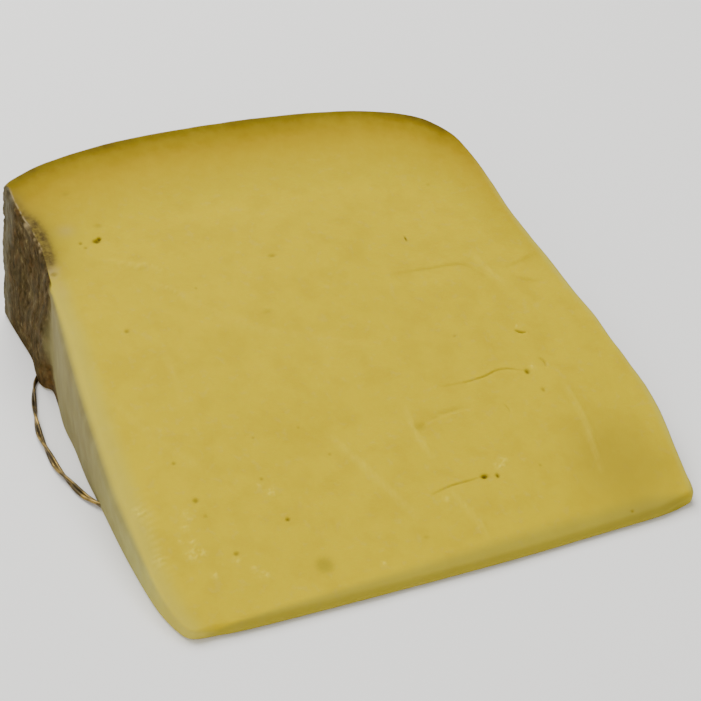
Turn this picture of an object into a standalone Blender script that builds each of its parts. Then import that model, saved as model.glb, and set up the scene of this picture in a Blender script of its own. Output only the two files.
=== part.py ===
"""One wedge of aged kashar cheese, lying on its lower cut face, with a loop of gilt twine.

The wedge was cut from a small wheel. Its axis lies along X, so paste and rind are one
solid: the wheel's outline, turned about that axis through the wedge's angle. The thin
tip of the wedge points towards -Y and the wheel's rim towards +Y. The twine comes out
from under the left side, bows over the table and goes back under the cheese.

Blender 4.5, metres, +Z up. The lengths below are in millimetres.
"""

import math

import bmesh
import bpy
import numpy as np

MM = 0.001

# Wedge: the slice's angle, and how round its cut edges are
WEDGE_ANGLE = math.radians(16.86)
BASE_EDGE_RADIUS = 0.4
CUT_EDGE_RADIUS = 0.6
SOFT_EDGE_RADIUS = 1.7
TIP_EDGE_RADIUS = 1.3
TIP_BAND = (7.0, 14.0)
SCRAPED_BAND = (70.0, 84.0)
UPPER_EDGE_SHARE = 0.68
LOWER_EDGE_SHARE = 0.25
EDGE_STEPS = 3
WALL_STEPS = 7
FACE_STEPS = 30

# Wheel outline: (place along the wheel's axis, distance from the axis). The four sides
# run round the wedge from the left end of the tip, and each starts where the last ended.
TIP = [(-49.1, 8.0), (-47.6, 7.0), (-44.0, 6.5), (-38.0, 6.0), (-20.0, 5.7), (8.0, 5.6),
       (28.0, 6.1), (42.0, 6.6), (47.2, 7.4), (50.0, 9.0)]
DOMED_FLAT = [(50.0, 9.0), (50.9, 14.0), (52.4, 23.0), (53.4, 32.0), (53.2, 42.0),
              (52.3, 52.0), (50.9, 60.0), (49.8, 69.0), (48.6, 80.0), (48.1, 91.0),
              (47.6, 99.0), (46.9, 105.0), (45.0, 109.2)]
RIM = [(45.0, 109.2), (40.3, 113.5), (33.0, 116.5), (22.0, 118.9), (8.0, 120.1),
       (-8.0, 120.2), (-22.0, 119.7), (-34.0, 118.1), (-43.5, 115.6), (-50.3, 112.4)]
LOW_FLAT = [(-50.3, 112.4), (-51.1, 110.4), (-50.9, 102.0), (-50.6, 95.0), (-50.8, 89.5),
            (-51.1, 85.2), (-50.6, 83.2), (-49.5, 81.6), (-49.8, 77.0), (-50.8, 69.5),
            (-51.0, 62.0), (-51.6, 53.0), (-51.7, 44.0), (-51.9, 32.0), (-51.7, 22.0),
            (-51.3, 16.0), (-50.7, 12.6), (-50.0, 10.0), (-49.1, 8.0)]
SIDES = (TIP, DOMED_FLAT, RIM, LOW_FLAT)

# How far the top of the low flat leans out past its foot, at each distance from the axis
LOW_FLAT_LEAN = [(15.0, 0.0), (35.0, 0.5), (50.0, 0.9), (62.0, 0.7), (76.0, 0.0),
                 (88.0, -0.8), (104.0, -0.2)]

# Where the flats begin, as a place along the axis: a band in which a flat's own shape
# fades in
LOW_FLAT_BAND = (-44.0, -48.0)
DOMED_FLAT_BAND = (40.0, 46.0)

# Relief: the mouldy crust is craggy and reaches from the rim down the low flat, the domed
# flat is wavy, and the cut face sags a little. None of it reaches the foot of the wall.
CRUST_START = (82.0, 85.0)
CRUST_RELIEF = 0.55
CRUST_CRAG = 5.0
FLAT_RELIEF = 0.25
FLAT_WAVE = 9.0
FOOT_SHARE = 0.15
FACE_RELIEF = 0.30
FACE_WAVE = 26.0
FACE_RIM_SHARE = 0.12

# Cracks in the cut face: the line they follow, their width and their depth. Lines and
# holes are placed as (place along the axis, distance from the axis) on that face.
CRACKS = [
    ([(13.0, 42.8), (16.4, 43.1), (20.0, 43.5), (25.6, 44.6), (28.7, 44.3), (31.4, 42.7)],
     0.9, 0.9),
    ([(17.8, 37.3), (13.0, 37.4), (8.5, 36.8), (5.4, 35.4)], 1.4, 0.6),
    ([(1.4, 21.4), (5.5, 22.2), (9.0, 22.3), (12.4, 22.4)], 0.9, 0.9),
    ([(15.5, 71.9), (23.1, 71.7), (30.8, 71.3), (33.1, 69.0), (35.3, 65.2)], 0.8, 0.4),
    ([(34.0, 54.0), (34.7, 52.4), (35.6, 51.2)], 1.3, 1.3),
    ([(35.4, 45.8), (35.9, 44.4), (36.0, 42.8)], 1.1, 0.9),
]
CRACK_RINGS = 9
CRACK_END_WIDTH = 0.25
CRACK_LIFT = 0.5

# Holes in the cut face: place, half width and half length
HOLES = [((-37.1, 93.6), 0.9, 0.7), ((-5.6, 81.8), 0.8, 0.5), ((22.7, 80.2), 0.5, 0.8),
         ((-38.8, 70.3), 0.6, 0.6), ((-39.2, 31.3), 0.7, 0.6), ((-25.2, 23.5), 0.6, 0.6),
         ((-36.2, 19.3), 0.6, 0.5), ((31.6, 42.7), 0.7, 0.8), ((12.9, 22.3), 1.1, 0.8),
         ((15.2, 21.8), 0.6, 0.7), ((32.6, 37.6), 0.5, 0.7)]
HOLE_DEPTH = 1.1

# Twine: a loop that lies on the table beside the low flat
TWINE_THICKNESS = 1.3
TWINE_ROUTE = [(-52.1, 84.6), (-53.2, 81.4), (-54.5, 76.2), (-55.5, 70.8), (-55.9, 65.5),
               (-55.8, 60.5), (-55.3, 55.4), (-54.1, 50.2), (-52.5, 46.3)]
TWINE_POINTS = 16

PASTE_COLOUR = (0.552, 0.434, 0.089, 1.0)
RIND_COLOUR = (0.088, 0.061, 0.030, 1.0)
TWINE_COLOUR = (0.235, 0.140, 0.040, 1.0)


def smooth_line(points, per_step=24, closed=False):
    """A Catmull-Rom curve through the points: each stretch is a cubic whose slope at a
    point follows the line between that point's two neighbours."""
    p = np.array(points, float)
    if closed:
        p = np.vstack([p[-1:], p, p[:2]])
    else:
        p = np.vstack([2 * p[:1] - p[1:2], p, 2 * p[-1:] - p[-2:-1]])
    t = np.linspace(0, 1, per_step, endpoint=False)[None, :, None]
    a, b, c, d = (p[i:len(p) - 3 + i, None, :] for i in range(4))
    curve = 0.5 * (2 * b + (c - a) * t + (2 * a - 5 * b + 4 * c - d) * t ** 2
                   + (3 * b - a - 3 * c + d) * t ** 3)
    curve = curve.reshape(-1, p.shape[1])
    return curve if closed else np.vstack([curve, p[-2:-1]])


def evenly(curve, count):
    """count + 1 points at equal steps along a curve."""
    run = np.concatenate([[0], np.cumsum(np.linalg.norm(np.diff(curve, axis=0), axis=1))])
    at = np.linspace(0, run[-1], count + 1)
    return np.stack([np.interp(at, run, curve[:, i]) for i in range(curve.shape[1])], 1)


def lattice_noise(places, cell, seed):
    """Smooth noise from -1 to 1: random values on a grid with this spacing, blended
    between the grid's corners with the curve 3t^2 - 2t^3."""
    table = np.random.default_rng(seed).uniform(-1, 1, (32, 32, 32))
    q = np.asarray(places, float) / cell + 100.0
    low = np.floor(q).astype(int)
    f = q - low
    f = f * f * (3 - 2 * f)
    total = 0.0
    for corner in np.ndindex(2, 2, 2):
        weight = np.prod([f[..., i] if corner[i] else 1 - f[..., i] for i in range(3)], 0)
        i, j, k = ((low[..., n] + corner[n]) % 32 for n in range(3))
        total = total + weight * table[i, j, k]
    return total


def ramp(x, start, end):
    """0 before start, 1 after end, and a smooth step between."""
    t = np.clip((x - start) / (end - start), 0, 1)
    return t * t * (3 - 2 * t)


def wheel_outline():
    """The outline as a ring of points, with the outward direction at each: FACE_STEPS
    steps on each side, so that a square grid fits inside the ring."""
    per_step = 24
    loop = smooth_line([p for side in SIDES for p in side[:-1]], per_step, closed=True)
    ends = np.cumsum([0] + [(len(side) - 1) * per_step for side in SIDES])
    loop = np.vstack([loop, loop[:1]])
    ring = np.vstack([evenly(loop[a:b + 1], FACE_STEPS)[:-1]
                      for a, b in zip(ends[:-1], ends[1:])])
    along = np.roll(ring, -1, axis=0) - np.roll(ring, 1, axis=0)
    along /= np.linalg.norm(along, axis=1)[:, None]
    return ring, np.stack([along[:, 1], -along[:, 0]], 1)


def turned(axial, radius, angle):
    """Points of the wheel: the outline's points, turned about the axis by an angle."""
    return np.stack([axial, radius * np.cos(angle), radius * np.sin(angle)], -1)


def edge_radius(ring):
    """How round the upper cut edge is: softly along the scraped part of the low flat and
    along the tip, where it takes up most of the wedge's small height."""
    scraped = ramp(ring[:, 0], *LOW_FLAT_BAND) * (1 - ramp(ring[:, 1], *SCRAPED_BAND))
    at_tip = (1 - ramp(ring[:, 1], *TIP_BAND)) * (1 - scraped)
    wanted = (CUT_EDGE_RADIUS + (SOFT_EDGE_RADIUS - CUT_EDGE_RADIUS) * scraped
              + (TIP_EDGE_RADIUS - CUT_EDGE_RADIUS) * at_tip)
    return np.minimum(wanted, UPPER_EDGE_SHARE * ring[:, 1] * WEDGE_ANGLE)


def wall_relief(ring, height, share):
    """How far the wall stands out from the outline: crags on the crust, low waves on the
    domed flat, and the low flat's lean."""
    places = np.stack([ring[:, 0], ring[:, 1], share * height], 1)
    domed = ramp(ring[:, 0], *DOMED_FLAT_BAND)
    crust = ramp(ring[:, 1], *CRUST_START) * (1 - domed)
    crags = CRUST_RELIEF * crust * lattice_noise(places, CRUST_CRAG, 3)
    waves = FLAT_RELIEF * domed * lattice_noise(places * [1, 1, 0.4], FLAT_WAVE, 8)
    lean = np.interp(ring[:, 1], *np.transpose(LOW_FLAT_LEAN))
    return ((crags + waves) * ramp(share, 0.0, FOOT_SHARE)
            + lean * share * ramp(ring[:, 0], *LOW_FLAT_BAND))


def side_wall(ring, outward):
    """The band round the wedge: rounded lower edge, wall, rounded upper edge. Each row is
    the outline pulled in by the edge's curve, and turned up by its height."""
    height = ring[:, 1] * WEDGE_ANGLE
    upper = edge_radius(ring)
    lower = np.minimum(BASE_EDGE_RADIUS, LOWER_EDGE_SHARE * height)
    turn = np.linspace(0, math.pi / 2, EDGE_STEPS + 1)
    rise = np.linspace(0, 1, WALL_STEPS + 1)[1:-1]
    rows = [(lower * (1 - math.sin(a)), lower * (1 - math.cos(a))) for a in turn]
    rows += [(0 * upper, lower + (height - upper - lower) * t) for t in rise]
    rows += [(upper * (1 - math.cos(a)), height - upper * (1 - math.sin(a))) for a in turn]
    wall = []
    for inset, lift in rows:
        share = lift / height
        stand_out = wall_relief(ring, height, share) - inset
        place = ring + outward * stand_out[:, None]
        wall.append(turned(place[:, 0], place[:, 1], share * WEDGE_ANGLE))
    return np.array(wall)


def fill_in(ring):
    """A square grid of points inside a ring: at each place, the blend of the two curves
    that cross there, less the blend of the four corners (a Coons patch)."""
    n = FACE_STEPS
    loop = np.vstack([ring, ring[:1]])
    front, right = loop[:n + 1], loop[n:2 * n + 1]
    back, left = loop[2 * n:3 * n + 1][::-1], loop[3 * n:][::-1]
    u = np.linspace(0, 1, n + 1)[None, :, None]
    v = np.linspace(0, 1, n + 1)[:, None, None]
    between = (1 - v) * front[None] + v * back[None]
    across = (1 - u) * left[:, None] + u * right[:, None]
    corners = ((1 - u) * (1 - v) * front[0] + u * (1 - v) * front[-1]
               + (1 - u) * v * back[0] + u * v * back[-1])
    return between + across - corners


def cut_face(ring):
    """The upper cut face: a grid inside the wall's last row, which sags and swells by a
    fraction of a millimetre away from its edges."""
    grid = fill_in(ring)
    step = np.abs(np.linspace(-1, 1, FACE_STEPS + 1))
    edge = np.maximum(step[None, :], step[:, None])
    inside = 1 - ramp(edge, 1 - FACE_RIM_SHARE, 1.0)
    swell = FACE_RELIEF * inside * lattice_noise(grid, FACE_WAVE, 5)
    up = np.array([0, -math.sin(WEDGE_ANGLE), math.cos(WEDGE_ANGLE)])
    return grid + swell[..., None] * up


def new_object(name, verts, faces, materials=()):
    """A mesh object with these materials."""
    mesh = bpy.data.meshes.new(name)
    mesh.from_pydata([tuple(v) for v in verts], [], faces)
    mesh.validate()
    for material in materials:
        mesh.materials.append(material)
    obj = bpy.data.objects.new(name, mesh)
    bpy.context.scene.collection.objects.link(obj)
    return obj


def finish(label, colour, roughness, metallic):
    """A plain Principled material."""
    material = bpy.data.materials.new(label)
    material.use_nodes = True
    shader = material.node_tree.nodes["Principled BSDF"]
    shader.inputs["Base Color"].default_value = colour
    shader.inputs["Roughness"].default_value = roughness
    shader.inputs["Metallic"].default_value = metallic
    return material


def build_wedge(name):
    """The wedge as one closed mesh, with the wheel's axis on X: the foot's flat face,
    the wall's rows of quads, and the cut face's grid of quads."""
    ring, outward = wheel_outline()
    wall = side_wall(ring, outward)
    face = cut_face(wall[-1])
    count, n = len(ring), FACE_STEPS
    verts = list(wall.reshape(-1, 3))
    faces = [tuple(reversed(range(count)))]
    for row in range(len(wall) - 1):
        for i in range(count):
            a, b = row * count + i, row * count + (i + 1) % count
            faces.append((a, b, b + count, a + count))
    wall_end = len(faces)

    # The grid's own edge is the wall's last row, so only its inside adds points.
    top = (len(wall) - 1) * count
    index = np.zeros((n + 1, n + 1), int)
    index[0, :] = top + np.arange(n + 1)
    index[:, n] = top + n + np.arange(n + 1)
    index[n, ::-1] = top + 2 * n + np.arange(n + 1)
    index[:0:-1, 0] = top + 3 * n + np.arange(n)
    index[1:n, 1:n] = len(verts) + np.arange((n - 1) ** 2).reshape(n - 1, n - 1)
    verts += list(face[1:n, 1:n].reshape(-1, 3))
    quads = np.stack([index[:-1, :-1], index[:-1, 1:], index[1:, 1:], index[1:, :-1]], -1)
    faces += quads.reshape(-1, 4).tolist()

    materials = [finish("kashar paste", PASTE_COLOUR, 0.5, 0.0),
                 finish("mouldy rind", RIND_COLOUR, 0.9, 0.0)]
    wedge = new_object(name, np.array(verts) * MM, faces, materials)
    for number, polygon in enumerate(wedge.data.polygons):
        x, y, z = polygon.center / MM
        crusty = math.hypot(y, z) > CRUST_START[0] or x > DOMED_FLAT_BAND[1]
        polygon.material_index = int(0 < number < wall_end and crusty)
    return wedge


def on_cut_face(axial, radius, lift=0.0):
    """A point on the upper cut face, lifted off it by lift."""
    c, s = math.cos(WEDGE_ANGLE), math.sin(WEDGE_ANGLE)
    return np.array([axial, radius * c - lift * s, radius * s + lift * c]) * MM


def crack_cutter(name, line, width, depth):
    """A V-shaped ridge, upside down, that runs along a crack and thins out to its ends."""
    path = evenly(smooth_line(line), CRACK_RINGS - 1)
    along = np.gradient(path, axis=0)
    along /= np.linalg.norm(along, axis=1)[:, None]
    spread = 1 + CRACK_LIFT / depth
    verts = []
    for i, (place, way) in enumerate(zip(path, along)):
        swell = math.sin(math.pi * i / (CRACK_RINGS - 1))
        full = CRACK_END_WIDTH + (1 - CRACK_END_WIDTH) * swell
        half = np.array([-way[1], way[0]]) * width / 2 * full * spread
        verts += [on_cut_face(*(place + half), CRACK_LIFT),
                  on_cut_face(*place, -depth * full),
                  on_cut_face(*(place - half), CRACK_LIFT)]
    end = 3 * (CRACK_RINGS - 1)
    faces = [(0, 1, 2), (end + 2, end + 1, end)]
    for i in range(0, end, 3):
        for a, b in ((i, i + 1), (i + 1, i + 2), (i + 2, i)):
            faces.append((a, a + 3, b + 3, b))
    return new_object(name, verts, faces)


def hole_cutter(name, place, half_width, half_length):
    """A small ball, stretched to the hole's size, half sunk in the cut face."""
    ball = bmesh.new()
    bmesh.ops.create_icosphere(ball, subdivisions=1, radius=1.0)
    verts = [on_cut_face(place[0] + v.co.x * half_width, place[1] + v.co.y * half_length,
                         v.co.z * HOLE_DEPTH) for v in ball.verts]
    faces = [tuple(v.index for v in f.verts) for f in ball.faces]
    ball.free()
    return new_object(name, verts, faces)


def cut(wedge, cutters):
    """Takes each cutter out of the wedge."""
    for cutter in cutters:
        shell = bmesh.new()
        shell.from_mesh(cutter.data)
        bmesh.ops.recalc_face_normals(shell, faces=shell.faces)
        shell.to_mesh(cutter.data)
        shell.free()
        cutter.hide_render = True
        cutter.display_type = "WIRE"
        modifier = wedge.modifiers.new(cutter.name, "BOOLEAN")
        modifier.operation = "DIFFERENCE"
        modifier.solver = "EXACT"
        modifier.object = cutter


def build_twine(name):
    """The loop of twine, as a round curve that rests on the table."""
    path = evenly(smooth_line(TWINE_ROUTE), TWINE_POINTS - 1)
    curve = bpy.data.curves.new(name, "CURVE")
    curve.dimensions = "3D"
    curve.bevel_depth = TWINE_THICKNESS / 2 * MM
    curve.bevel_resolution = 2
    curve.use_fill_caps = True
    spline = curve.splines.new("POLY")
    spline.points.add(len(path) - 1)
    for point, (x, y) in zip(spline.points, path):
        point.co = (x * MM, y * MM, TWINE_THICKNESS / 2 * MM, 1.0)
    obj = bpy.data.objects.new(name, curve)
    bpy.context.scene.collection.objects.link(obj)
    curve.materials.append(finish("gilt twine", TWINE_COLOUR, 0.45, 0.6))
    return obj


def stand_at_origin(wedge, others):
    """Moves everything so that the origin is under the middle of the wedge's box."""
    places = np.array([v.co for v in wedge.data.vertices])
    middle = (places.min(0) + places.max(0)) / 2
    for obj in (wedge, *others):
        obj.location = (-middle[0], -middle[1], -places[:, 2].min())
    print("the wheel's axis runs through", [round(x / MM, 3) for x in wedge.location])


def main():
    for old in list(bpy.data.objects):
        bpy.data.objects.remove(old)
    wedge = build_wedge("kashar_wedge")
    wedge.data.shade_smooth()
    wedge.data.set_sharp_from_angle(angle=math.radians(35))
    cutters = [crack_cutter(f"crack_{i}", *crack) for i, crack in enumerate(CRACKS)]
    cutters += [hole_cutter(f"hole_{i}", *hole) for i, hole in enumerate(HOLES)]
    cut(wedge, cutters)
    twine = build_twine("twine_loop")
    stand_at_origin(wedge, [twine, *cutters])


main()
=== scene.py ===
# %% [markdown]
# # A wedge of aged kashar
# Kashar is a stretched-curd cheese: the curd is kneaded hot, pressed into a round hoop and
# left for months. The paste turns firm and waxy, the flats and the rim grow a dry brown and
# grey rind, and the paste just inside the rim dries to a darker, more golden band.
#
# The piece here is a thin slice of such a wheel. It lies on its lower cut face, with its thin
# tip, which was the wheel's middle, towards the camera. A bow of gilt twine comes out from
# under its left side.
#
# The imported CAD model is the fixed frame, so it is loaded first.

import math

import bmesh
import bpy
import numpy as np
from mathutils import Matrix, Vector


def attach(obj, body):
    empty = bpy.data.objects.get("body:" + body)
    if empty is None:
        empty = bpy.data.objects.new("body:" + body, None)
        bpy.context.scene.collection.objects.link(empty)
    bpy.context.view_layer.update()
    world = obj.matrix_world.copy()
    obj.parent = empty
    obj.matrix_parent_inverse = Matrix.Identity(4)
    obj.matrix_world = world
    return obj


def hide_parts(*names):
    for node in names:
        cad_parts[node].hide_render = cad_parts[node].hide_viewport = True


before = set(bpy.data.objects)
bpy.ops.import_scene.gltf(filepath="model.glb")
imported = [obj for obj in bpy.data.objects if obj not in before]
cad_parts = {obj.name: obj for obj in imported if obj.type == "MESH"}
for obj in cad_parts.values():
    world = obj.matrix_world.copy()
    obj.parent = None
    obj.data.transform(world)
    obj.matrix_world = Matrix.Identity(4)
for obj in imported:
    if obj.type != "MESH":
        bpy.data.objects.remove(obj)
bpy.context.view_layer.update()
MM = 0.001
print("CAD nodes", sorted(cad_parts))

# %% [markdown]
# ## The camera
# The photo was taken with a long lens from the front left, about a third of the way up. Its
# angles and its distance were found by fitting the wedge's outline to the photo, so the same
# outline falls on the same pixels. The focal length is in the photo's pixels, turned into
# millimetres for Blender's 36 mm sensor.

# %% Set up the camera
PHOTO_SIDE = 701
FOCAL_PIXELS = 1700.0
SENSOR_WIDTH = 36.0
CAMERA_PLACE = Vector((-120.5, -245.5, 192.8)) * MM
CAMERA_TURN = math.radians(-26.99)
CAMERA_DIP = math.radians(33.71)
CAMERA_ROLL = math.radians(4.03)


def in_scene(name, data):
    """A new object with this data, linked into the scene."""
    new = bpy.data.objects.new(name, data)
    bpy.context.scene.collection.objects.link(new)
    return new


camera = in_scene("camera", bpy.data.cameras.new("camera"))
camera.data.sensor_width = SENSOR_WIDTH
camera.data.lens = SENSOR_WIDTH * FOCAL_PIXELS / PHOTO_SIDE
camera.data.clip_start = 0.01
turn = (Matrix.Rotation(CAMERA_TURN, 4, "Z")
        @ Matrix.Rotation(math.pi / 2 - CAMERA_DIP, 4, "X")
        @ Matrix.Rotation(CAMERA_ROLL, 4, "Z"))
camera.matrix_world = Matrix.Translation(CAMERA_PLACE) @ turn
bpy.context.scene.camera = camera
print("lens", round(camera.data.lens, 1), "mm")

# %% [markdown]
# ## Small tools
# Everything below is drawn in millimetres, so that a size in the script is a size on the
# cheese. Lines are given by a few points, and a Catmull-Rom curve rounds them off. Noise is
# seeded, so the cheese is the same at each run.

# %% Curves, ramps and noise
def smooth_line(points, per_step=24, closed=False):
    """A Catmull-Rom curve through the points: each stretch is a cubic whose slope at a
    point follows the line between that point's two neighbours."""
    p = np.array(points, float)
    if closed:
        p = np.vstack([p[-1:], p, p[:2]])
    else:
        p = np.vstack([2 * p[:1] - p[1:2], p, 2 * p[-1:] - p[-2:-1]])
    t = np.linspace(0, 1, per_step, endpoint=False)[None, :, None]
    a, b, c, d = (p[i:len(p) - 3 + i, None, :] for i in range(4))
    curve = 0.5 * (2 * b + (c - a) * t + (2 * a - 5 * b + 4 * c - d) * t ** 2
                   + (3 * b - a - 3 * c + d) * t ** 3)
    curve = curve.reshape(-1, p.shape[1])
    return curve if closed else np.vstack([curve, p[-2:-1]])


def run_along(curve):
    """The length run along a curve at each of its points."""
    return np.concatenate([[0], np.cumsum(np.linalg.norm(np.diff(curve, axis=0), axis=1))])


def evenly(curve, count):
    """count + 1 points at equal steps along a curve."""
    run = run_along(curve)
    at = np.linspace(0, run[-1], count + 1)
    return np.stack([np.interp(at, run, curve[:, i]) for i in range(curve.shape[1])], 1)


def ramp(x, start, end):
    """0 before start, 1 after end, and 3t^2 - 2t^3 between."""
    t = np.clip((x - start) / (end - start), 0, 1)
    return t * t * (3 - 2 * t)


def band(x, start, full, fading, end):
    """0 outside start and end, 1 between full and fading."""
    return ramp(x, start, full) * (1 - ramp(x, fading, end))


def noise(places, cell, seed):
    """Smooth noise from -1 to 1: random values on a grid with this spacing, blended
    between the grid's corners with the curve 3t^2 - 2t^3."""
    table = np.random.default_rng(seed).uniform(-1, 1, (32, 32, 32))
    q = np.asarray(places, float) / cell + 100.0
    low = np.floor(q).astype(int)
    f = q - low
    f = f * f * (3 - 2 * f)
    total = 0.0
    for corner in np.ndindex(2, 2, 2):
        weight = np.prod([f[..., i] if corner[i] else 1 - f[..., i] for i in range(3)], 0)
        i, j, k = ((low[..., n] + corner[n]) % 32 for n in range(3))
        total = total + weight * table[i, j, k]
    return total


def from_line(x, r, line):
    """How far each place (x, r) is from a smooth line, how far along that line the nearest
    point is, from 0 to 1, and on which side: the least distance to any of its segments."""
    path = evenly(smooth_line(line), 40)
    best = np.full(np.shape(x), 1e9)
    along, side = np.zeros_like(best), np.ones_like(best)
    for i, ((ax, ar), (bx, br)) in enumerate(zip(path[:-1], path[1:])):
        dx, dr = bx - ax, br - ar
        t = np.clip(((x - ax) * dx + (r - ar) * dr) / (dx * dx + dr * dr), 0, 1)
        gap = np.hypot(x - ax - t * dx, r - ar - t * dr)
        nearer = gap < best
        best = np.where(nearer, gap, best)
        along = np.where(nearer, (i + t) / (len(path) - 1), along)
        side = np.where(nearer, np.sign(dx * (r - ar) - dr * (x - ax)), side)
    return best, along, side


print("a ramp from 0 to 10 is", ramp(np.array([2.0, 5.0, 8.0]), 0, 10).round(2), "at 2, 5, 8")

# %% [markdown]
# ## The wedge's form
# A slice of a wheel is the wheel's outline turned about the wheel's axis. So each point of
# the wedge has a place along the axis, `x`, a distance from the axis, `r`, and an angle. The
# outline is four sides: the tip, the domed flat on the right, the rim, and the low flat on
# the left, whose foot the rind makes uneven.
#
# A box with a Bevel would never get the wandering sides right, and a sculpt can't be read
# back. Here the wall is a ring of the outline carried up through the angle, with its first
# and last rows pulled in along an arc for the rounded cut edges. The upper face is a Coons
# patch: the blend of the two curves that cross at each place, less the blend of the four
# corners. The grid is fine, about 0.65 mm, because the relief is real geometry.

# %% Outline of the wheel
WHEEL_AXIS = (-0.561, -63.028)
WEDGE_ANGLE = math.radians(16.86)
BASE_EDGE_RADIUS = 0.4
CUT_EDGE_RADIUS = 0.6
SOFT_EDGE_RADIUS = 2.2
TIP_EDGE_RADIUS = 1.3
TIP_BAND = (7.0, 14.0)
SCRAPED_BAND = (70.0, 88.0)
SOFTER_BAND = (10.0, 40.0)
UPPER_EDGE_SHARE = 0.68
LOWER_EDGE_SHARE = 0.25
EDGE_STEPS = 6
WALL_STEPS = 44
FACE_STEPS = 160

TIP = [(-49.1, 8), (-47.6, 7), (-44, 6.5), (-38, 6), (-20, 5.7), (8, 5.6),
       (28, 6.1), (42, 6.6), (47.2, 7.4), (50, 9)]
DOMED_FLAT = [(50, 9), (50.9, 14), (52.4, 23), (53.4, 32), (53.2, 42),
              (52.3, 52), (50.9, 60), (49.8, 69), (48.6, 80), (48.1, 91),
              (47.6, 99), (46.9, 105), (45, 109.2)]
RIM = [(45, 109.2), (40.3, 113.5), (33, 116.5), (22, 118.9), (8, 120.1),
       (-8, 120.2), (-22, 119.7), (-34, 118.1), (-43.5, 115.6), (-50.3, 112.4)]
LOW_FLAT = [(-50.3, 112.4), (-51.1, 110.4), (-50.9, 102), (-50.6, 95), (-50.8, 89.5),
            (-51.1, 85.2), (-50.6, 83.2), (-49.5, 81.6), (-49.8, 77), (-50.8, 69.5),
            (-51, 62), (-51.6, 53), (-51.7, 44), (-51.9, 32), (-51.7, 22),
            (-51.3, 16), (-50.7, 12.6), (-50, 10), (-49.1, 8)]
SIDES = (TIP, DOMED_FLAT, RIM, LOW_FLAT)
LOW_FLAT_LEAN = [(15, 0), (35, 0.5), (50, 0.9), (62, 0.7), (76, 0),
                 (88, -0.8), (104, -0.2)]
LOW_FLAT_BAND = (-44.0, -48.0)
DOMED_FLAT_BAND = (40.0, 46.0)


def wheel_outline():
    """The outline as a ring of points, with the outward direction at each: FACE_STEPS
    steps on each side, so that a square grid fits inside the ring."""
    per_step = 24
    loop = smooth_line([p for side in SIDES for p in side[:-1]], per_step, closed=True)
    ends = np.cumsum([0] + [(len(side) - 1) * per_step for side in SIDES])
    loop = np.vstack([loop, loop[:1]])
    ring = np.vstack([evenly(loop[a:b + 1], FACE_STEPS)[:-1]
                      for a, b in zip(ends[:-1], ends[1:])])
    along = np.roll(ring, -1, axis=0) - np.roll(ring, 1, axis=0)
    along /= np.linalg.norm(along, axis=1)[:, None]
    return ring, np.stack([along[:, 1], -along[:, 0]], 1)


ring, outward = wheel_outline()
print("outline", len(ring), "points,", round(run_along(ring)[-1]), "mm round")

# %% [markdown]
# ## The wall's relief
# The crust is craggy where the mould has grown, and the domed flat is wavy. Both fade out at
# the foot, so the wedge lies flat. The low flat leans a little, and its top follows the edge
# of the cut face, which was measured off the photo as (r, x) places in `TOP_EDGE`.

# %% Wall: rows of the outline, turned up through the angle
CRUST_START = (82.0, 85.0)
CRUST_RELIEF = 0.55
CORNER_CALM = 0.6
CORNER_BAND = (103.0, 109.0)
CRUST_CRAG = 5.0
FLAT_RELIEF = 0.45
FLAT_WAVE = 6.5
FOOT_SHARE = 0.15
TOP_EDGE = [(37, -51.9), (47, -51.5), (56, -51.1), (64, -50.6), (72, -49.9),
            (77, -49.6), (81, -49.35), (84.5, -49.2), (87.4, -48.9), (90.5, -48.6),
            (93.2, -48.45), (96.4, -48.6), (99.4, -48.9), (102, -49.5), (107, -49.95)]
TOP_BAND = (25.0, 37.0, 111.0, 112.4)
TOP_SHARE = (0.3, 1.0)
EDGE_SEEN = 0.34
SET_BACK = 0.45
SET_BACK_BAND = (87.5, 94.0, 111.5, 113.5)
SMOOTH_SHARE = (0.6, 0.95)


def turned(axial, radius, angle):
    """Points of the wheel: the outline's points, turned about the axis by an angle."""
    return np.stack([axial, radius * np.cos(angle), radius * np.sin(angle)], -1)


def edge_radius(ring):
    """How round the upper cut edge is: softly along the scraped part of the low flat and
    along the tip, where it takes up most of the wedge's small height."""
    scraped = ramp(ring[:, 0], *LOW_FLAT_BAND) * (1 - ramp(ring[:, 1], *SCRAPED_BAND))
    at_tip = (1 - ramp(ring[:, 1], *TIP_BAND)) * (1 - scraped)
    softer = scraped * ramp(ring[:, 1], *SOFTER_BAND)
    wanted = (CUT_EDGE_RADIUS + (SOFT_EDGE_RADIUS - CUT_EDGE_RADIUS) * softer
              + (TIP_EDGE_RADIUS - CUT_EDGE_RADIUS) * at_tip)
    return np.minimum(wanted, UPPER_EDGE_SHARE * ring[:, 1] * WEDGE_ANGLE)


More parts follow.
